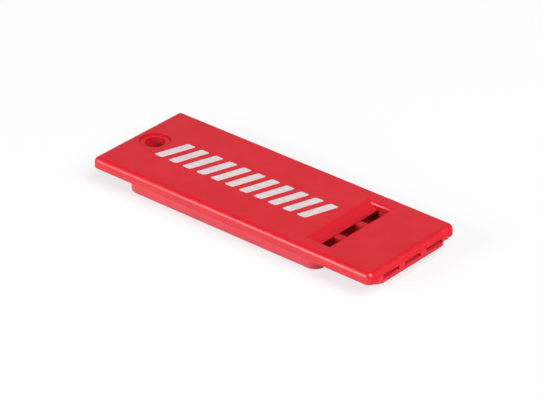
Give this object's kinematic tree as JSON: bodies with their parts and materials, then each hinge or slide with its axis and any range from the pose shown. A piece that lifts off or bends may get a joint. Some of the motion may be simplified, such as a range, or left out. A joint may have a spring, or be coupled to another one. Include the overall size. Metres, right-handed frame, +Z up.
{
  "type": "whistle",
  "caption": "Flat pealess safety whistle: a thin red cover plate with a lanyard hole and ramped sounding windows, welded over a stepped chamber tray with blow slots at its mouth end.",
  "frame": {"origin": "under the middle of the cover plate, on the surface that the tray lies on", "axes": "+X along the whistle to the mouth end, +Y across it, +Z up through the cover's printed face"},
  "size_m": [0.06, 0.022, 0.0048],
  "materials": {
    "cover_abs": "moulded red ABS, satin gloss",
    "tray_abs": "moulded red ABS, satin gloss"
  },
  "bodies": {
    "root": {"cover_plate": "cover_abs", "chamber_tray": "tray_abs"}
  },
  "joints": []
}
